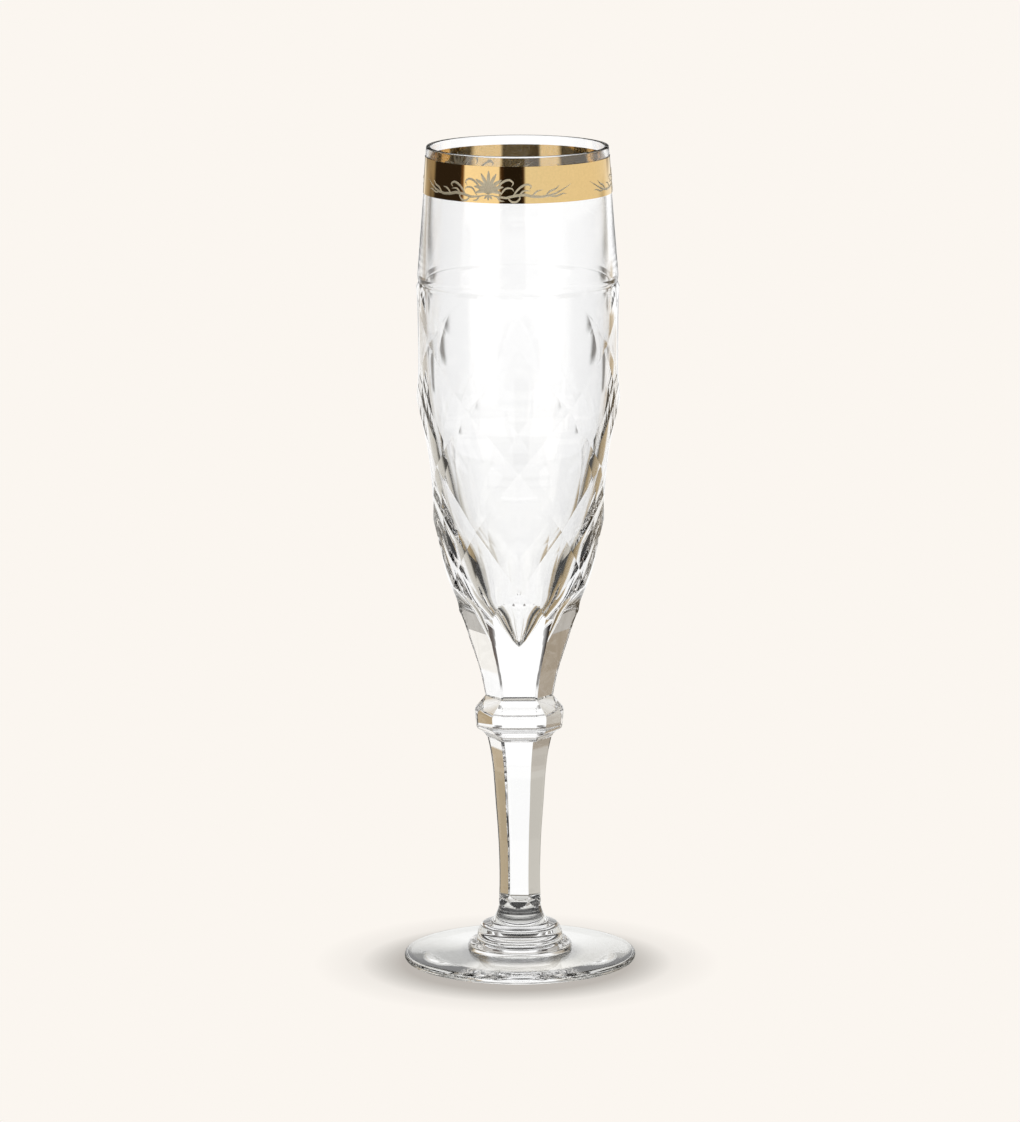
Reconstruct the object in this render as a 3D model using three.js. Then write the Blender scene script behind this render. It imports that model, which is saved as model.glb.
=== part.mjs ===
// A hand-cut crystal champagne flute: bowl, knop, hexagonal stem, ringed collar, foot and a gilded rim band.
// Units are millimetres. +Z is up, and the foot stands on z = 0 with the axis of the glass on Z.
import * as THREE from "three";

// Around the glass
const SIDES = 6; // flats on the bowl's base, the knop and the stem, and columns of cuts on the bowl
const SEGMENTS = 8 * SIDES; // faces around each piece, so that every ridge has vertices on it
const STEM_TURN = THREE.MathUtils.degToRad(-5); // the stem is turned a little against the knop

// Heights at which one piece is fused to the next
const FOOT_TOP = 3;
const STEM_FOOT = 14.6;
const KNOP_FOOT = 62.2;
const BOWL_FOOT = 73.7;
const HEIGHT = 225;

// Foot and collar
const FOOT_RADIUS = 31.8;
const FOOT_EDGE = 1.9; // thickness at the rounded edge
const REST_RING = { inner: 24, outer: 30.6 }; // the flat ring that the glass stands on
const FOOT_HOLLOW = 0.8; // how far the underside rises inside that ring
const TIER_RADIUS = 14.4;
const RING = { foot: 5.7, top: 9.9, wide: 11.9, narrow: 10.7 };
const NECK = { wide: 8, narrow: 5.8 };

// Knop: a disc with six flats ground on it
const KNOP_RADIUS = 12.2;
const KNOP_FLAT = 11.2; // from the axis to the middle of a flat

// Cut ornament: hollow lozenges in staggered columns, each as wide as a flat of the base
const LOZENGE_HEIGHT = 33.5;
const LOZENGE_NODE = 106; // height of the ridge crossing above the middle of each base flat
const ROW = LOZENGE_HEIGHT / (SEGMENTS / SIDES);
const CUT_TOP = 187;
const GROOVE = { depth: 27, middle: 188.3, top: 189.9 }; // the turned groove above the cuts
const CUT_DEPTH = { low: 1.4, high: 0.6, from: 152, to: 176 };

// Rim, cavity and band
const RIM_RADIUS = 24.7;
const WALL = 1.2;
const CAVITY_TIP = 89.3; // height of the lowest point inside the bowl
const BAND = { foot: 212.6, top: 222.4, gap: 0.02, thickness: 0.2 };

// A smooth curve through [height, radius] points, as a function of height.
function curveThrough(points) {
  const heights = points.map(([height]) => height);
  const radii = points.map(([, radius]) => radius);
  const curve = new THREE.CubicInterpolant(heights, radii, 1);
  return (height) => curve.evaluate(height)[0];
}

// Tips of the ridges, before the lozenges are cut between them. Below the lozenges the flats lie deeper.
const ridgeRadius = curveThrough([
  [BOWL_FOOT, 17], [90, 17], [96.6, 17.3], [99.5, 17.8], [LOZENGE_NODE, 20.5],
  [124.5, 23.5], [141, 25.9], [157, 27.7], [172, 27.8], [CUT_TOP, 27.65],
]);
// Corners of the six flats at the base, and the middle of each flat
const cornerRadius = curveThrough([
  [BOWL_FOOT, 9.2], [80.3, 10.55], [88.7, 13.2], [96.6, 15.9], [LOZENGE_NODE, 21.5],
]);
const flatRadius = curveThrough([
  [BOWL_FOOT, 8.1], [80.3, 9.3], [88.7, 11.7], [96.6, 14.3], [100.5, 15.9], [LOZENGE_NODE, 20.5],
]);
const collarRadius = curveThrough([
  [GROOVE.top, 27.25], [199.4, 26.5], [210, 25.65], [218.5, 25.1], [HEIGHT - 0.5, RIM_RADIUS],
]);
const cavityRadius = curveThrough([
  [CAVITY_TIP, 0], [90.4, 1.3], [92.5, 2.8], [96, 4.9], [101.5, 7.9], [109, 11.8], [121, 17.2],
  [135, 21], [154, 24.3], [172, 25.3], [186, 25.4], [199.4, 25.0], [HEIGHT - 0.5, RIM_RADIUS - WALL],
]);
const stemRadius = curveThrough([
  [STEM_FOOT, 5.8], [21, 5.6], [32, 5.8], [44, 6.6], [55, 7.5], [59, 8.1], [KNOP_FOOT, 8.8],
]);

// Angle from the middle of the nearest flat. The flats face the angles 0, 60, 120...
function angleFromFlat(angle) {
  const step = (2 * Math.PI) / SIDES;
  return angle - step * Math.round(angle / step);
}

const acrossFlat = (middle, corner) => (angle) => Math.min(middle / Math.cos(angleFromFlat(angle)), corner);

// Depth of the hollow cuts. The ridges between them run where either coordinate is whole.
function cutDepth(angle, height) {
  const across = (angle * SIDES) / (2 * Math.PI);
  const up = (height - LOZENGE_NODE) / LOZENGE_HEIGHT;
  const fromMiddle = (value) => value - Math.floor(value) - 0.5;
  const hollow = 1 - 2 * fromMiddle(across + up) ** 2 - 2 * fromMiddle(across - up) ** 2;
  const fade = THREE.MathUtils.smoothstep(height, CUT_DEPTH.from, CUT_DEPTH.to);
  return hollow * THREE.MathUtils.lerp(CUT_DEPTH.low, CUT_DEPTH.high, fade);
}

// The cut part of the bowl: whichever lies deepest of the lozenges and the flats.
const cutRadius = (height) => (angle) => {
  const lozenge = ridgeRadius(height) - cutDepth(angle, height);
  if (height > LOZENGE_NODE) return lozenge;
  return Math.min(lozenge, acrossFlat(flatRadius(height), cornerRadius(height))(angle));
};

// Heights from one to the other in equal steps of about the size asked.
function heights(from, to, step) {
  const count = Math.round(Math.abs(to - from) / step);
  return Array.from({ length: count + 1 }, (_, i) => THREE.MathUtils.lerp(from, to, i / count));
}

// A closed body around Z from rows of [radius, height]. A radius may be a function of the angle.
function turned(rows) {
  const radiusAt = (radius, angle) => (typeof radius === "function" ? radius(angle) : radius);
  const outline = rows.map(([radius, height]) => new THREE.Vector2(radiusAt(radius, 0), height));
  const geometry = new THREE.LatheGeometry(outline, SEGMENTS).rotateX(Math.PI / 2);
  const place = geometry.getAttribute("position");
  for (let i = 0; i < place.count; i++) {
    const [radius, height] = rows[i % rows.length];
    const segment = Math.floor(i / rows.length) % SEGMENTS;
    const angle = (2 * Math.PI * segment) / SEGMENTS;
    const reach = radiusAt(radius, angle);
    place.setXYZ(i, reach * Math.sin(angle), -reach * Math.cos(angle), height);
  }
  geometry.computeVertexNormals();
  return geometry;
}

function bowl() {
  const rows = [[0, BOWL_FOOT]];
  const firstRow = LOZENGE_NODE - 2 * ROW;
  for (const z of heights(BOWL_FOOT, firstRow, ROW)) rows.push([cutRadius(z), z]);
  for (let z = firstRow + ROW; z < CUT_TOP - ROW / 2; z += ROW) rows.push([cutRadius(z), z]);
  rows.push([ridgeRadius(CUT_TOP), CUT_TOP], [GROOVE.depth, GROOVE.middle]);
  for (const z of heights(GROOVE.top, HEIGHT - 0.5, 7)) rows.push([collarRadius(z), z]);
  rows.push([RIM_RADIUS - WALL / 2, HEIGHT]);
  for (const z of heights(HEIGHT - 0.5, 99, 9)) rows.push([cavityRadius(z), z]);
  for (const z of heights(96, 90.5, 1.8)) rows.push([cavityRadius(z), z]);
  rows.push([0, CAVITY_TIP]);
  return turned(rows);
}

function band() {
  const inner = (z) => collarRadius(z) + BAND.gap;
  const outer = (z) => inner(z) + BAND.thickness;
  const upwards = heights(BAND.foot, BAND.top, 5);
  const outside = upwards.map((z) => [outer(z), z]);
  const inside = upwards.map((z) => [inner(z), z]).reverse();
  return turned([...outside, ...inside, outside[0]]);
}

function knop() {
  const disc = (corner) => acrossFlat(Math.min(corner, KNOP_FLAT), corner);
  return turned([
    [0, KNOP_FOOT],
    [acrossFlat(7.8, 8.9), KNOP_FOOT],
    [acrossFlat(8.5, 9.6), 63.5],
    [disc(KNOP_RADIUS - 0.5), 64.8],
    [disc(KNOP_RADIUS), 70.2],
    [acrossFlat(8.3, 9.4), BOWL_FOOT],
    [0, BOWL_FOOT],
  ]);
}

function stem() {
  const rows = [[0, STEM_FOOT]];
  for (const z of heights(STEM_FOOT, KNOP_FOOT, 5)) {
    rows.push([acrossFlat(stemRadius(z) * Math.cos(Math.PI / SIDES), stemRadius(z)), z]);
  }
  rows.push([0, KNOP_FOOT]);
  return turned(rows).rotateZ(STEM_TURN);
}

function collar() {
  const flare = new THREE.QuadraticBezierCurve(
    new THREE.Vector2(NECK.wide, RING.top + 0.4),
    new THREE.Vector2(NECK.narrow, RING.top + 2),
    new THREE.Vector2(NECK.narrow, STEM_FOOT),
  );
  return turned([
    [0, FOOT_TOP],
    [TIER_RADIUS, FOOT_TOP],
    [TIER_RADIUS - 0.2, 4.3],
    [TIER_RADIUS - 1.3, 5.2],
    [RING.wide + 0.1, RING.foot - 0.1],
    [RING.wide - 0.1, 6.5],
    [RING.wide - 0.5, 7.9],
    [RING.narrow, 9.3],
    [RING.narrow - 0.8, RING.top],
    ...flare.getPoints(5).map((point) => [point.x, point.y]),
    [0, STEM_FOOT],
  ]);
}

function foot() {
  return turned([
    [0, FOOT_HOLLOW],
    [REST_RING.inner / 2, FOOT_HOLLOW * 0.8],
    [REST_RING.inner, 0],
    [REST_RING.outer, 0],
    [FOOT_RADIUS - 0.4, 0.25],
    [FOOT_RADIUS, FOOT_EDGE / 2],
    [FOOT_RADIUS - 0.4, FOOT_EDGE - 0.3],
    [FOOT_RADIUS - 1.6, FOOT_EDGE],
    [23, 2.5],
    [TIER_RADIUS, FOOT_TOP],
    [0, FOOT_TOP],
  ]);
}

const crystal = () => new THREE.MeshStandardMaterial({ color: 0xf4f6f5, roughness: 0.03, metalness: 0 });
const gilding = () => new THREE.MeshStandardMaterial({ color: 0xd9b566, roughness: 0.12, metalness: 1 });

const flute = new THREE.Group();
const pieces = { foot, foot_collar: collar, stem, knop, bowl, gold_band: band };
for (const [name, shape] of Object.entries(pieces)) {
  const mesh = new THREE.Mesh(shape(), name === "gold_band" ? gilding() : crystal());
  mesh.name = name;
  flute.add(mesh);
}

export default flute;
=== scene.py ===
import math
import bmesh
import bpy
import numpy as np
from mathutils import Matrix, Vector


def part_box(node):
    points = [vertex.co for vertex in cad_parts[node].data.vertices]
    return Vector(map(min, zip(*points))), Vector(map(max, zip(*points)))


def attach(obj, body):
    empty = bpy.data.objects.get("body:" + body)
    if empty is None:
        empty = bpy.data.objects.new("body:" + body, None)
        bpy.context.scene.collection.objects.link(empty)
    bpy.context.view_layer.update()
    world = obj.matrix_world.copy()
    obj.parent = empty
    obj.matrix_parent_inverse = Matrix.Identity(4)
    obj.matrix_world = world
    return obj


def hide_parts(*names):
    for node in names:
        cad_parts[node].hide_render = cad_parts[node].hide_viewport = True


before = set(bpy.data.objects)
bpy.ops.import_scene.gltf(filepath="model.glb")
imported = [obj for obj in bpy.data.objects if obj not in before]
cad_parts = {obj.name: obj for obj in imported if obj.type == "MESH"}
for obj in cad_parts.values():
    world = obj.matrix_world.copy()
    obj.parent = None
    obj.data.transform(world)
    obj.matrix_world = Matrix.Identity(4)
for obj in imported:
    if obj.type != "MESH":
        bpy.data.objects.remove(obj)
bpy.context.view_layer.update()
MM = 0.001

# ---------------------------------------------------------------- camera
# A long lens 1.7 m away, looking down a little, as at table height in a studio.
CAMERA_PLACE = (-0.0024, -1.703, 0.434)
CAMERA_DOWN = 10.736  # degrees
CAMERA_LENS = 203.9
CAMERA_ROLL = -0.2  # degrees


def make_camera():
    data = bpy.data.cameras.new("camera")
    data.lens = CAMERA_LENS
    data.sensor_width = 36
    data.clip_start = 0.05
    camera = bpy.data.objects.new("camera", data)
    camera.location = CAMERA_PLACE
    tilt = Matrix.Rotation(math.radians(90 - CAMERA_DOWN), 3, "X")
    roll = Matrix.Rotation(math.radians(CAMERA_ROLL), 3, "Z")
    camera.rotation_euler = (tilt @ roll).to_euler()
    bpy.context.collection.objects.link(camera)
    bpy.context.scene.camera = camera


make_camera()

# ---------------------------------------------------------------- sizes, in millimetres, from the CAD
SIDES = 6
STEM_TURN = math.radians(-5)
LOZENGE_HEIGHT = 33.5
LOZENGE_NODE = 106
CELLS = 64  # mesh cells across one lozenge column, and up one lozenge
CUT_DEPTH = 1.4
SHALLOW_CUT_DEPTH = 0.6
SHALLOWER_FROM = 152
SHALLOWER_TO = 176


def low(node):
    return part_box(node)[0].z / MM


def high(node):
    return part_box(node)[1].z / MM


FOOT_TOP = high("foot")
FOOT_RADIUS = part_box("foot")[1].x / MM
STEM_FOOT = low("stem")
KNOP_FOOT = low("knop")
BOWL_FOOT = low("bowl")
HEIGHT = high("bowl")
BAND_FOOT = low("gold_band")
BAND_TOP = high("gold_band")
CUT_TOP = 187
GROOVE_MIDDLE = 188.3
GROOVE_TOP = 189.9
CAVITY_TIP = 89.3
RIM_RADIUS = 24.7
WALL = 1.2
GOLD_BACK = 0.03  # how far the back and the face of the gold stand out from the glass
GOLD_FACE = 0.12


# ---------------------------------------------------------------- outlines
def curve_through(points):
    """A smooth curve through (height, radius) points, as a function of height."""
    heights, radii = np.array(points, float).T
    slopes = np.gradient(radii, heights)

    def radius(height):
        height = np.clip(height, heights[0], heights[-1])
        i = np.clip(np.searchsorted(heights, height) - 1, 0, len(heights) - 2)
        step = heights[i + 1] - heights[i]
        t = (height - heights[i]) / step
        rise = (radii[i + 1] - radii[i]) * t * t * (3 - 2 * t)
        return radii[i] + rise + step * t * (1 - t) * (slopes[i] * (1 - t) - slopes[i + 1] * t)

    return radius


def smoothstep(value, start, end):
    t = np.clip((value - start) / (end - start), 0, 1)
    return t * t * (3 - 2 * t)


def rounded(points, fillet):
    """The (radius, height) outline with each corner but the ends turned into a small arc."""
    points = [np.array(p, float) for p in points]
    outline = [points[0]]
    for before, corner, after in zip(points, points[1:], points[2:]):
        reach = min(fillet, np.linalg.norm(corner - before) / 2.2, np.linalg.norm(after - corner) / 2.2)
        start = corner + (before - corner) / np.linalg.norm(before - corner) * reach
        end = corner + (after - corner) / np.linalg.norm(after - corner) * reach
        for t in np.linspace(0, 1, 7):
            outline.append((1 - t) ** 2 * start + 2 * t * (1 - t) * corner + t * t * end)
    outline.append(points[-1])
    return outline


# Tips of the ridges, before the lozenges are cut between them
ridge_radius = curve_through([
    (BOWL_FOOT, 17), (90, 17), (96.6, 17.3), (99.5, 17.8), (LOZENGE_NODE, 20.5),
    (124.5, 23.5), (141, 25.9), (157, 27.7), (172, 27.8), (CUT_TOP, 27.65),
])
# Corners and middles of the six flats at the base
corner_radius = curve_through([
    (BOWL_FOOT, 9.2), (80.3, 10.55), (88.7, 13.2), (96.6, 15.9), (LOZENGE_NODE, 21.5),
])
flat_radius = curve_through([
    (BOWL_FOOT, 8.1), (80.3, 9.3), (88.7, 11.7), (96.6, 14.3), (100.5, 15.9), (LOZENGE_NODE, 20.5),
])
collar_radius = curve_through([
    (GROOVE_TOP, 27.25), (199.4, 26.5), (210, 25.65), (218.5, 25.1), (HEIGHT - 0.5, RIM_RADIUS),
])
cavity_radius = curve_through([
    (CAVITY_TIP, 0), (90.4, 1.3), (92.5, 2.8), (96, 4.9), (101.5, 7.9), (109, 11.8), (121, 17.2), (135, 21),
    (154, 24.3), (172, 25.3), (186, 25.4), (199.4, 25.0), (HEIGHT - 0.5, RIM_RADIUS - WALL),
])
stem_radius = curve_through([
    (STEM_FOOT, 5.8), (21, 5.6), (32, 5.8), (44, 6.6), (55, 7.5), (59, 8.1), (KNOP_FOOT, 8.8),
])


def angle_from_flat(angle):
    step = 2 * math.pi / SIDES
    return angle - step * np.round(angle / step)


def across_flat(middle, corner, angle):
    return np.minimum(middle / np.cos(angle_from_flat(angle)), corner)


def cut_depth(angle, height):
    """Depth of the hollow lozenges. The ridges between them run where either coordinate is whole."""
    across = angle * SIDES / (2 * math.pi)
    up = (height - LOZENGE_NODE) / LOZENGE_HEIGHT
    s = (across + up) % 1 - 0.5
    t = (across - up) % 1 - 0.5
    fade = smoothstep(height, SHALLOWER_FROM, SHALLOWER_TO)
    return (1 - 2 * s * s - 2 * t * t) * (CUT_DEPTH + (SHALLOW_CUT_DEPTH - CUT_DEPTH) * fade)


def cut_radius(angle, height):
    lozenge = ridge_radius(height) - cut_depth(angle, height)
    if height > LOZENGE_NODE:
        return lozenge
    return np.minimum(lozenge, across_flat(flat_radius(height), corner_radius(height), angle))


# ---------------------------------------------------------------- meshes
def link(name, vertices, faces, materials, face_materials=None):
    mesh = bpy.data.meshes.new(name)
    mesh.from_pydata(vertices, [], faces)
    for material in materials:
        mesh.materials.append(material)
    if face_materials is not None:
        mesh.polygons.foreach_set("material_index", face_materials)
    work = bmesh.new()
    work.from_mesh(mesh)
    bmesh.ops.recalc_face_normals(work, faces=work.faces)
    work.to_mesh(mesh)
    work.free()
    mesh.shade_smooth()
    mesh.set_sharp_from_angle(angle=math.radians(7))
    piece = bpy.data.objects.new(name, mesh)
    bpy.context.collection.objects.link(piece)
    return piece


def turned(name, rings, materials, turn=0.0, ridged=None):
    """A closed body around Z. Each ring is (radii at every angle, height in mm). A first or last ring that is
    the number 0 is a point on the axis, and any other is closed by a flat face of the second material.
    ridged(row, i) says which way to split a square of the mesh: 1, -1 or 0 for neither."""
    count = len(rings[1][0])
    angles = np.arange(count) * 2 * math.pi / count + turn
    vertices = []
    faces = []
    starts = []
    for radii, height in rings:
        starts.append(len(vertices))
        if np.ndim(radii) == 0:
            vertices.append((0, 0, height * MM))
            continue
        x = radii * np.sin(angles) * MM
        y = -radii * np.cos(angles) * MM
        vertices.extend(zip(x.tolist(), y.tolist(), [height * MM] * count))
    for row in range(len(rings) - 1):
        a, b = starts[row], starts[row + 1]
        for i in range(count):
            j = (i + 1) % count
            if np.ndim(rings[row][0]) == 0:
                faces.append((a, b + i, b + j))
            elif np.ndim(rings[row + 1][0]) == 0:
                faces.append((a + i, b, a + j))
            elif ridged and ridged(row, i) == 1:
                faces.append((a + i, a + j, b + j))
                faces.append((a + i, b + j, b + i))
            elif ridged and ridged(row, i) == -1:
                faces.append((a + i, a + j, b + i))
                faces.append((a + j, b + j, b + i))
            else:
                faces.append((a + i, a + j, b + j, b + i))
    face_materials = [0] * len(faces)
    for end in (0, -1):
        if np.ndim(rings[end][0]):
            faces.append(tuple(starts[end] + i for i in range(count)))
            face_materials.append(1)
    return link(name, vertices, faces, materials, face_materials)


def steps(start, end, step):
    return np.linspace(start, end, max(2, int(round(abs(end - start) / step)) + 1))


# ---------------------------------------------------------------- materials
class Nodes:
    """A small helper to build a node tree."""

    def __init__(self, tree):
        self.tree = tree
        tree.nodes.clear()

    def add(self, kind, inputs=None, **settings):
        node = self.tree.nodes.new(kind)
        for key, value in settings.items():
            setattr(node, key, value)
        for key, value in (inputs or {}).items():
            if isinstance(value, bpy.types.NodeSocket):
                self.tree.links.new(value, node.inputs[key])
            else:
                node.inputs[key].default_value = value
        return node

    def math(self, operation, *values):
        node = self.add("ShaderNodeMath", operation=operation)
        for socket, value in zip(node.inputs, values):
            if isinstance(value, bpy.types.NodeSocket):
                self.tree.links.new(value, socket)
            else:
                socket.default_value = value
        return node.outputs[0]

    def mix(self, factor, first, second, blend="MIX"):
        return self.add("ShaderNodeMix", {"Factor": factor, 6: first, 7: second},
                        data_type="RGBA", blend_type=blend).outputs[2]

    def between(self, value, start, end, to_start=0.0, to_end=1.0):
        """The value, taken from one range to another and held at its ends."""
        inputs = {"Value": value, "From Min": start, "From Max": end, "To Min": to_start, "To Max": to_end}
        return self.add("ShaderNodeMapRange", inputs).outputs["Result"]

    def ramp(self, value, stops):
        node = self.add("ShaderNodeValToRGB", {"Fac": value})
        ramp = node.color_ramp
        while len(ramp.elements) > 1:
            ramp.elements.remove(ramp.elements[0])
        ramp.elements[0].position = stops[0][0]
        ramp.elements[0].color = (*stops[0][1], 1)
        for position, colour in stops[1:]:
            ramp.elements.new(position).color = (*colour, 1)
        return node.outputs["Color"]


def new_material(name):
    material = bpy.data.materials.new(name)
    material.use_nodes = True
    return material, Nodes(material.node_tree)


def crystal(name, wave_size, wave_height):
    """Clear lead crystal. Slow waves in the polished surface, and fine haze from washing and polishing."""
    material, nodes = new_material(name)
    place = nodes.add("ShaderNodeTexCoord").outputs["Object"]
    waves = nodes.add("ShaderNodeTexNoise", {"Vector": place, "Scale": 1 / (wave_size * MM), "Detail": 1.5})
    haze = nodes.add("ShaderNodeTexNoise", {"Vector": place, "Scale": 260.0, "Detail": 4.0})
    roughness = nodes.between(haze.outputs["Fac"], 0.5, 0.8, 0.0, 0.02)
    bump = nodes.add(
        "ShaderNodeBump",
        {"Height": waves.outputs["Fac"], "Strength": 1.0, "Distance": wave_height * MM},
    )
    shader = nodes.add(
        "ShaderNodeBsdfPrincipled",
        {
            "Base Color": (1, 1, 1, 1),
            "Roughness": roughness,
            "IOR": 1.54,
            "Transmission Weight": 1.0,
            "Normal": bump.outputs["Normal"],
        },
    )
    nodes.add("ShaderNodeOutputMaterial", {"Surface": shader.outputs["BSDF"]})
    return material


def fused_joint():
    """The plane inside the glass where two pieces are fused, which light passes straight through."""
    material, nodes = new_material("fused_joint")
    shader = nodes.add("ShaderNodeBsdfTransparent")
    nodes.add("ShaderNodeOutputMaterial", {"Surface": shader.outputs["BSDF"]})
    return material


def gold(name, colour, metallic, roughness, grain, depth):
    """Fired gold: burnished where it is smooth, and grainy where the glass under it is etched."""
    material, nodes = new_material(name)
    place = nodes.add("ShaderNodeTexCoord").outputs["Object"]
    noise = nodes.add("ShaderNodeTexNoise", {"Vector": place, "Scale": grain, "Detail": 5.0})
    tone = nodes.ramp(noise.outputs["Fac"], [
        (0.3, tuple(c * 0.93 for c in colour)),
        (0.7, colour),
    ])
    rough = nodes.between(noise.outputs["Fac"], 0.3, 0.7, roughness * 0.7, roughness * 1.3)
    bump = nodes.add(
        "ShaderNodeBump", {"Height": noise.outputs["Fac"], "Strength": 1.0, "Distance": depth * MM}
    )
    shader = nodes.add(
        "ShaderNodeBsdfPrincipled",
        {
            "Base Color": tone,
            "Metallic": metallic,
            "Roughness": rough,
            "Normal": bump.outputs["Normal"],
        },
    )
    nodes.add("ShaderNodeOutputMaterial", {"Surface": shader.outputs["BSDF"]})
    return material


CUT_CRYSTAL = crystal("cut_crystal", 9, 0.004)
PRESSED_CRYSTAL = crystal("pressed_crystal", 6, 0.004)
JOINT = fused_joint()
BURNISHED_GOLD = gold("burnished_gold", (0.80, 0.58, 0.27), 1.0, 0.05, 1500.0, 0.00002)
ETCHED_GOLD = gold("etched_gold", (1.0, 0.89, 0.66), 0.35, 0.35, 3000.0, 0.002)


# ---------------------------------------------------------------- the pieces
def finish(piece, node):
    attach(piece, "root")
    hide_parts(node)
    return piece


def make_bowl():
    count = CELLS * SIDES
    angles = np.arange(count) * 2 * math.pi / count
    row_height = LOZENGE_HEIGHT / CELLS
    everywhere = np.ones(count)
    first = LOZENGE_NODE - row_height * math.floor((LOZENGE_NODE - BOWL_FOOT - 0.3) / row_height)
    heights = [BOWL_FOOT, *np.arange(first, CUT_TOP - row_height / 2, row_height)]
    rings = [(cut_radius(angles, z), z) for z in heights]
    cut_rings = len(rings)
    top = cut_radius(angles, CUT_TOP)
    rings.append((top, CUT_TOP))
    groove = rounded([(27.55, CUT_TOP), (27.0, GROOVE_MIDDLE), (27.25, GROOVE_TOP)], 0.5)
    rings += [(np.minimum(top, radius), z) if radius > 27.4 else (radius * everywhere, z)
              for radius, z in groove[1:-1]]
    rings += [(collar_radius(z) * everywhere, z) for z in steps(GROOVE_TOP, HEIGHT - 0.5, 0.8)]
    lip = rounded([
        (RIM_RADIUS, HEIGHT - 0.5), (RIM_RADIUS - 0.05, HEIGHT), (RIM_RADIUS - WALL + 0.05, HEIGHT),
        (RIM_RADIUS - WALL, HEIGHT - 0.5),
    ], 0.6)
    rings += [(radius * everywhere, z) for radius, z in lip[1:-1]]
    rings += [(cavity_radius(z) * everywhere, z) for z in steps(HEIGHT - 0.5, 99, 0.8)]
    rings += [(cavity_radius(z) * everywhere, z) for z in steps(98.4, 89.6, 0.3)]
    rings.append((0, CAVITY_TIP))
    shift = round((LOZENGE_NODE - first) / row_height) + 1

    def ridged(row, i):
        if not 1 <= row < cut_rings:
            return 0
        up = row - shift
        if (i - up) % CELLS == 0:
            return 1
        if (i + up + 1) % CELLS == 0:
            return -1
        return 0

    piece = turned("bowl_crystal", rings, [CUT_CRYSTAL, JOINT], ridged=ridged)
    return finish(piece, "bowl")


def make_knop():
    count = 360
    angles = np.arange(count) * 2 * math.pi / count
    corners = rounded([
        (8.9, KNOP_FOOT), (9.6, 63.5), (11.7, 64.8), (12.2, 70.2), (9.3, BOWL_FOOT)
    ], 0.6)
    flats = rounded([
        (7.72, KNOP_FOOT), (8.5, 63.5), (10.8, 64.8), (11.3, 70.0), (8.15, BOWL_FOOT)
    ], 1.0)
    corner = curve_through([(z, radius) for radius, z in corners])
    flat = curve_through([(z, radius) for radius, z in flats])
    rings = [(across_flat(flat(z), corner(z), angles), z) for z in steps(KNOP_FOOT, BOWL_FOOT, 0.12)]
    piece = turned("knop_crystal", rings, [PRESSED_CRYSTAL, JOINT])
    return finish(piece, "knop")


def make_stem():
    count = 360
    angles = np.arange(count) * 2 * math.pi / count
    rings = []
    for z in steps(STEM_FOOT, KNOP_FOOT, 0.35):
        corner = stem_radius(z)
        run_out = 1 - smoothstep(z, STEM_FOOT, STEM_FOOT + 2.6)
        flat = corner * (0.867 + 0.15 * run_out)
        rings.append((across_flat(flat, corner, angles), z))
    piece = turned("stem_crystal", rings, [PRESSED_CRYSTAL, JOINT], turn=STEM_TURN)
    return finish(piece, "stem")


def make_collar():
    count = 192
    everywhere = np.ones(count)
    outline = rounded([
        (14.4, FOOT_TOP), (14.2, 4.3), (13.1, 5.2), (12.0, 5.6), (11.8, 6.4), (11.4, 7.9), (10.7, 9.4),
        (9.9, 9.9), (8.0, 10.3), (6.95, 11.7), (6.15, 13.2), (5.8, STEM_FOOT),
    ], 0.5)
    piece = turned("foot_collar_crystal", [(r * everywhere, z) for r, z in outline], [PRESSED_CRYSTAL, JOINT])
    return finish(piece, "foot_collar")


def make_foot():
    count = 256
    everywhere = np.ones(count)
    outline = rounded([
        (0.5, 0.8), (12, 0.66), (24, 0), (30.6, 0), (FOOT_RADIUS, 0.2), (FOOT_RADIUS, 1.5),
        (30.2, 1.9), (23, 2.45), (14.4, FOOT_TOP),
    ], 1.2)
    rings = [(0, 0.8)] + [(r * everywhere, z) for r, z in outline]
    piece = turned("foot_crystal", rings, [PRESSED_CRYSTAL, JOINT])
    return finish(piece, "foot")


def make_band():
    count = CELLS * SIDES
    everywhere = np.ones(count)
    heights = steps(BAND_FOOT, BAND_TOP, 0.8)
    outer = [(collar_radius(z) + GOLD_FACE, z) for z in heights]
    inner = [(collar_radius(z) + GOLD_BACK, z) for z in heights[::-1]]
    loop = outer + inner
    angles = np.arange(count) * 2 * math.pi / count
    vertices = [(r * math.sin(a) * MM, -r * math.cos(a) * MM, z * MM) for r, z in loop for a in angles]
    faces = []
    for row in range(len(loop)):
        a = row * count
        b = (row + 1) % len(loop) * count
        for i in range(count):
            j = (i + 1) % count
            faces.append((a + i, a + j, b + j, b + i))
    return finish(link("gold_band_film", vertices, faces, [BURNISHED_GOLD]), "gold_band")


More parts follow.
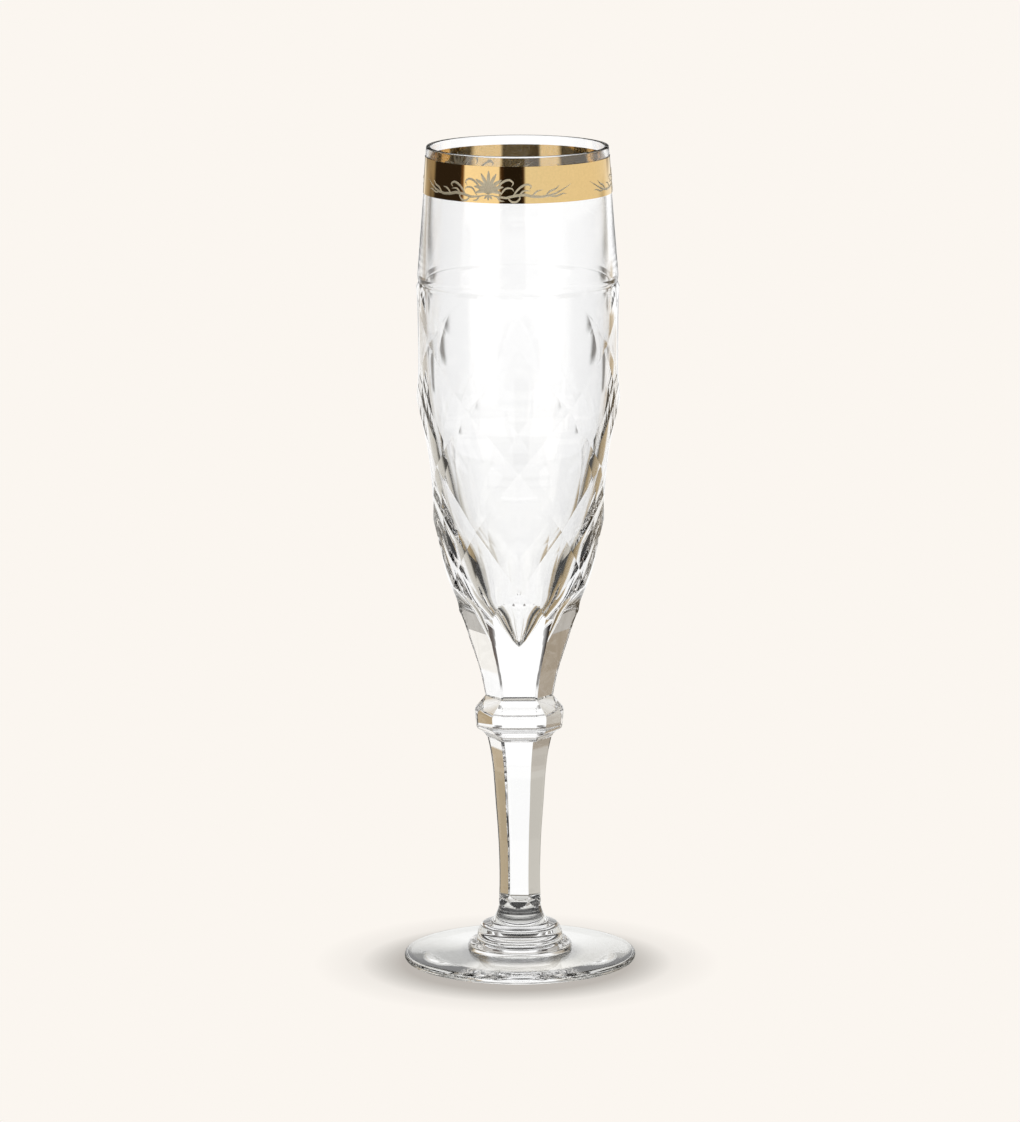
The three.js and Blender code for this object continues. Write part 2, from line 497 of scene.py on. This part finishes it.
# ---------------------------------------------------------------- the etched frieze on the gold
# Half of a motif, as leaves: the points of each leaf's spine, (across, up) in mm from the motif's middle on
# the band, and its width. The palmette is a fan of leaves of its own.
SCROLL = [
    ([(0.6, -2.7), (4.5, -3.4), (9, -2.5), (13, -3.2), (17, -2.8), (20, -1.6), (23, -0.1)], 0.75),
    ([(2.0, -2.2), (3.3, 0.3), (5.4, 1.4), (6.7, 0.6), (6.2, -0.4)], 0.6),
    ([(3.2, -2.9), (4.6, -1.0), (6.3, -0.9), (6.9, -1.7)], 0.5),
    ([(6.6, -2.9), (8.3, -0.8), (10.2, 0.2), (11.5, -0.3), (11.0, -1.1)], 0.6),
    ([(8.2, -2.7), (9.6, -1.5), (11.4, -1.6)], 0.5),
    ([(2.4, -3.0), (3.2, -4.1), (4.4, -4.3)], 0.5),
    ([(5.2, -3.3), (6.3, -4.4), (7.6, -4.4), (8.5, -3.4), (8.0, -2.8)], 0.55),
    ([(11.6, -3.0), (13.0, -1.7), (14.6, -1.3)], 0.5),
    ([(15.2, -3.1), (16.6, -1.8), (18.2, -1.2), (19.4, -0.2)], 0.55),
    ([(16.2, -3.0), (18.2, -3.2), (20.2, -2.6), (21.4, -2.7)], 0.45),
]
PALMETTE = [(angle, 6.3 - 2.6 * (abs(angle) / 84) ** 1.5) for angle in range(-84, 85, 21)]
MOTIFS = 3
MOTIF_TURN = math.radians(-18)
LEAF_EDGE = 0.03  # how far a leaf's edges, middle and back stand out from the face of the gold
LEAF_MIDDLE = 0.09
LEAF_BACK = -0.105


def along(points, count):
    """The curve through a leaf's spine points, at even steps."""
    points = np.array(points, float)
    slopes = np.gradient(points, axis=0)
    place = np.linspace(0, len(points) - 1, count)
    i = np.minimum(place.astype(int), len(points) - 2)
    t = (place - i)[:, None]
    rise = (points[i + 1] - points[i]) * t * t * (3 - 2 * t)
    return points[i] + rise + t * (1 - t) * (slopes[i] * (1 - t) - slopes[i + 1] * t)


def leaf(spine, width, fullest):
    """One leaf as rings of five points, which go through the gold: two edges, the raised middle between
    them, and two edges inside. Each is (across, up, proud of the band)."""
    count = 12
    line = along(spine, count)
    ahead = np.gradient(line, axis=0)
    ahead /= np.linalg.norm(ahead, axis=1)[:, None]
    side = np.stack([-ahead[:, 1], ahead[:, 0]], axis=1)
    t = np.linspace(0.02, 0.98, count)
    half = (width / 2 * np.sin(math.pi * t ** fullest) ** 0.8)[:, None]
    rows = []
    left = line + side * half
    right = line - side * half
    for place, out in ((left, LEAF_EDGE), (line, LEAF_MIDDLE), (right, LEAF_EDGE),
                       (right, LEAF_BACK), (left, LEAF_BACK)):
        rows.append(np.column_stack([place, np.full(count, out)]))
    return np.stack(rows, axis=1)


def motif_leaves():
    leaves = []
    for angle, length in PALMETTE:
        turn = math.radians(angle)
        lean = math.radians(angle * 0.75)
        middle = (0.45 * length * math.sin(lean), -2.6 + 0.5 * length * math.cos(lean))
        tip = (length * math.sin(turn), -2.6 + length * math.cos(turn))
        leaves.append(leaf([(0, -2.6), middle, tip], 0.95, 1.6))
    for angle in (140, 180, 220):
        turn = math.radians(angle)
        leaves.append(leaf([(0, -2.5), (1.7 * math.sin(turn), -2.5 + 1.7 * math.cos(turn))], 0.6, 1.2))
    for spine, width in SCROLL:
        for side in (-1, 1):
            leaves.append(leaf([(side * across, up) for across, up in spine], width, 0.7))
    return leaves


def make_frieze():
    middle = (BAND_FOOT + BAND_TOP) / 2
    vertices = []
    faces = []
    for number in range(MOTIFS):
        turn = MOTIF_TURN + number * 2 * math.pi / MOTIFS
        for rings in motif_leaves():
            start = len(vertices)
            for ring in rings:
                for across, up, proud in ring:
                    z = middle + up
                    radius = collar_radius(z) + GOLD_FACE + proud
                    angle = turn + across / collar_radius(middle)
                    x = radius * math.sin(angle)
                    y = -radius * math.cos(angle)
                    vertices.append((x * MM, y * MM, z * MM))
            for row in range(len(rings) - 1):
                a = start + 5 * row
                for i in range(5):
                    j = (i + 1) % 5
                    faces.append((a + i, a + j, a + 5 + j, a + 5 + i))
            faces.append(tuple(range(start, start + 5)))
            faces.append(tuple(range(len(vertices) - 5, len(vertices))))
    frieze = link("frieze", vertices, faces, [ETCHED_GOLD])
    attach(frieze, "root")


make_bowl()
make_knop()
make_stem()
make_collar()
make_foot()
make_band()
make_frieze()


# ---------------------------------------------------------------- the stage: floor, light tent and sky
CREAM = (0.965, 0.922, 0.871)
TENT_RADIUS = 0.55
TENT_HEIGHT = 0.26
MIDDLE_WALL_FOOT = 0.075
HIGH_WALL_FOOT = 0.165
WALL_BLEND = 0.015
# What stands round the flute, by angle from the camera's side, turning towards +X: white paper, dark cards
# and warm wood. Each is (degrees, linear colour). The high wall is what the gold mirrors.
WHITE = (1.08, 1.08, 1.08)
GREY = (0.27, 0.26, 0.25)
BLACK = (0.05, 0.05, 0.05)
HIGH_WALL = [
    (-180, WHITE), (-167, WHITE), (-162, (0.03, 0.022, 0.018)), (-148, (0.03, 0.022, 0.018)),
    (-144, (0.38, 0.32, 0.25)), (-124, (0.38, 0.32, 0.25)), (-118, (0.03, 0.022, 0.018)),
    (-73, (0.03, 0.022, 0.018)), (-68, (0.25, 0.13, 0.05)), (-67, (1.25, 1.2, 1.15)),
    (-22, (1.2, 1.15, 1.1)), (-21, (0.09, 0.045, 0.02)), (-16, (0.02, 0.015, 0.012)),
    (5, (0.02, 0.015, 0.012)), (8, (0.09, 0.045, 0.02)), (9, (1.0, 1.0, 1.0)), (100, (1.0, 0.97, 0.93)),
    (140, (1.0, 0.97, 0.92)), (144, (0.3, 0.2, 0.1)), (150, (0.08, 0.06, 0.05)), (163, (0.12, 0.1, 0.09)),
    (167, WHITE), (180, WHITE),
]
MIDDLE_WALL = [
    (-180, WHITE), (-169, WHITE), (-166, GREY), (-162, GREY), (-159, WHITE), (-156, WHITE),
    (-149, (0.6, 0.55, 0.47)), (-136, (0.4, 0.34, 0.27)), (-130, BLACK),
    (-62, BLACK), (-55, (0.85, 0.84, 0.82)), (58, (0.9, 0.9, 0.9)), (66, BLACK), (121, BLACK),
    (127, (0.6, 0.5, 0.36)), (131, (0.95, 0.9, 0.8)), (136, WHITE),
    (159, WHITE), (162, GREY), (166, GREY), (169, WHITE), (180, WHITE),
]
LOW_WALL = [
    (-180, WHITE), (-156, WHITE), (-146, (0.62, 0.58, 0.52)), (-126, (0.5, 0.46, 0.4)), (-118, BLACK),
    (-62, BLACK), (-55, (1.0, 0.96, 0.9)), (-32, (1.0, 0.96, 0.9)), (-28, BLACK), (19, BLACK),
    (23, (1.0, 0.96, 0.9)), (58, (1.0, 0.96, 0.9)), (66, BLACK), (116, BLACK),
    (124, (0.4, 0.3, 0.18)), (144, (0.56, 0.44, 0.28)), (152, WHITE), (180, WHITE),
]
# Painted light and dark on the table by angle round the flute, which only rays through or off the glass see;
# this is the table further out.
FAR_TABLE = [
    (-180, (1.03, 1.03, 1.03)), (-156, (1.03, 1.03, 1.02)), (-146, (0.66, 0.63, 0.57)),
    (-126, (0.56, 0.53, 0.47)), (-118, BLACK), (-62, BLACK), (-50, (0.5, 0.48, 0.45)),
    (50, (0.6, 0.58, 0.53)), (62, BLACK), (116, BLACK), (124, (0.34, 0.26, 0.15)),
    (144, (0.48, 0.37, 0.22)), (152, (1.03, 1.03, 1.02)), (180, (1.03, 1.03, 1.03)),
]
# Painted shadow of the foot on the table, as the glass sees it: a ring, dark behind and at the sides, lighter
# in front.
BESIDE_FOOT = [
    (-180, (0.26, 0.24, 0.21)), (-150, (0.26, 0.24, 0.21)), (-120, BLACK), (-80, BLACK),
    (-70, (0.5, 0.49, 0.45)), (70, (0.7, 0.68, 0.64)), (80, BLACK), (120, BLACK),
    (150, (0.26, 0.24, 0.21)), (180, (0.26, 0.24, 0.21)),
]
# Painted light and dark on the table under the foot, by angle, which shows through the foot.
FOOT_TABLE = [
    (-180, (0.8, 0.8, 0.77)), (-130, (0.8, 0.8, 0.77)), (-105, (0.5, 0.49, 0.45)),
    (-85, (0.1, 0.1, 0.08)), (-50, (0.13, 0.13, 0.11)), (-36, (0.75, 0.73, 0.68)),
    (-20, (1.0, 0.98, 0.93)), (25, (1.05, 1.02, 0.95)), (42, (0.7, 0.68, 0.62)), (60, (0.42, 0.41, 0.36)),
    (90, (0.5, 0.49, 0.45)), (130, (0.78, 0.78, 0.75)), (180, (0.8, 0.8, 0.77)),
]
# Each part of the table, and the distances from the axis at which it begins and is all there is
TABLES = ((0.013, 0.018, FOOT_TABLE), (0.032, 0.036, BESIDE_FOOT), (0.052, 0.06, FAR_TABLE))


def surroundings(nodes, place, stops):
    """The colour of the stage at a place, by its angle round the flute."""
    split = nodes.add("ShaderNodeSeparateXYZ", {"Vector": place})
    minus_y = nodes.math("MULTIPLY", split.outputs["Y"], -1.0)
    angle = nodes.math("ARCTAN2", split.outputs["X"], minus_y)
    turn = nodes.math("MULTIPLY_ADD", angle, 1 / (2 * math.pi), 0.5)
    return nodes.ramp(turn, [(degrees / 360 + 0.5, colour) for degrees, colour in stops])


def make_floor():
    bpy.ops.mesh.primitive_plane_add(size=40, location=(0, 0, -0.0001))
    floor = bpy.context.object
    floor.name = "floor"
    material, nodes = new_material("pale_floor")
    place = nodes.add("ShaderNodeTexCoord").outputs["Object"]
    distance = nodes.add("ShaderNodeVectorMath", {0: place}, operation="LENGTH").outputs["Value"]
    # Painted contact shadow for the camera: the floor is unlit, so a ramp by distance from a point a little in
    # front of the axis darkens the cream round the foot; no shadow is cast.
    shadow_place = nodes.add("ShaderNodeVectorMath", {0: place, 1: (0.001, 0.006, 0)}, operation="ADD")
    shadow_reach = nodes.add("ShaderNodeVectorMath", {0: shadow_place.outputs["Vector"]}, operation="LENGTH")
    painted_shadow = nodes.ramp(nodes.math("MULTIPLY", shadow_reach.outputs["Value"], 10.0), [
        (0.0, (0.52, 0.51, 0.50)), (0.31, (0.52, 0.51, 0.50)), (0.36, (0.66, 0.66, 0.655)),
        (0.43, (0.9, 0.9, 0.9)), (0.56, (1, 1, 1)),
    ])
    seen = nodes.mix(1.0, (*CREAM, 1), painted_shadow, "MULTIPLY")
    # For rays through or off the glass only: a painted shadow, black, under the collar, then the painted light
    # and shade that show through the foot, the neck and the rest of the glass
    around = (*BLACK, 1)
    for start, end, stops in TABLES:
        further = nodes.between(distance, start, end)
        around = nodes.mix(further, around, surroundings(nodes, place, stops))
    path = nodes.add("ShaderNodeLightPath")
    colour = nodes.mix(path.outputs["Is Camera Ray"], around, seen)
    # The floor is not lit: it glows with these colours, so both the camera's shadow and the light and dark the
    # glass sees on it are painted.
    shader = nodes.add("ShaderNodeEmission", {"Color": colour})
    nodes.add("ShaderNodeOutputMaterial", {"Surface": shader.outputs["Emission"]})
    material.cycles.emission_sampling = "NONE"
    floor.data.materials.append(material)


def make_tent():
    bpy.ops.mesh.primitive_cylinder_add(
        vertices=96, radius=TENT_RADIUS, depth=TENT_HEIGHT, end_fill_type="NOTHING",
        location=(0, 0, TENT_HEIGHT / 2))
    tent = bpy.context.object
    tent.name = "light_tent"
    material, nodes = new_material("tent_light")
    place = nodes.add("ShaderNodeTexCoord").outputs["Object"]
    height = nodes.add("ShaderNodeSeparateXYZ", {"Vector": place}).outputs["Z"]
    colour = surroundings(nodes, place, LOW_WALL)
    for foot, stops in ((MIDDLE_WALL_FOOT, MIDDLE_WALL), (HIGH_WALL_FOOT, HIGH_WALL)):
        start = foot - TENT_HEIGHT / 2
        above = nodes.between(height, start, start + WALL_BLEND)
        colour = nodes.mix(above, colour, surroundings(nodes, place, stops))
    shader = nodes.add("ShaderNodeEmission", {"Color": colour})
    nodes.add("ShaderNodeOutputMaterial", {"Surface": shader.outputs["Emission"]})
    material.cycles.emission_sampling = "NONE"
    tent.data.materials.append(material)
    tent.visible_camera = False


# The room above the tent, by the sine of the height angle: dark, a grey card, dark, and a soft box overhead.
SKY = [
    (0.0, (0.02, 0.02, 0.02)), (0.24, (0.02, 0.02, 0.02)), (0.3, (0.5, 0.48, 0.45)), (0.47, (0.5, 0.48, 0.45)),
    (0.52, (0.03, 0.03, 0.03)), (0.72, (0.03, 0.03, 0.03)), (0.78, (1.0, 1.0, 1.0)),
]


def make_sky():
    world = bpy.data.worlds.new("studio")
    bpy.context.scene.world = world
    world.use_nodes = True
    nodes = Nodes(world.node_tree)
    path = nodes.add("ShaderNodeLightPath")
    direction = nodes.add("ShaderNodeTexCoord").outputs["Generated"]
    rise = nodes.add("ShaderNodeSeparateXYZ", {"Vector": direction}).outputs["Z"]
    overhead = nodes.ramp(rise, SKY)
    colour = nodes.mix(path.outputs["Is Camera Ray"], overhead, (*CREAM, 1))
    background = nodes.add("ShaderNodeBackground", {"Color": colour})
    nodes.add("ShaderNodeOutputWorld", {"Surface": background.outputs["Background"]})


make_floor()
make_tent()
make_sky()

scene = bpy.context.scene
scene.view_settings.view_transform = "Standard"
scene.cycles.max_bounces = 32
scene.cycles.transmission_bounces = 32
scene.cycles.glossy_bounces = 16
scene.cycles.transparent_max_bounces = 32
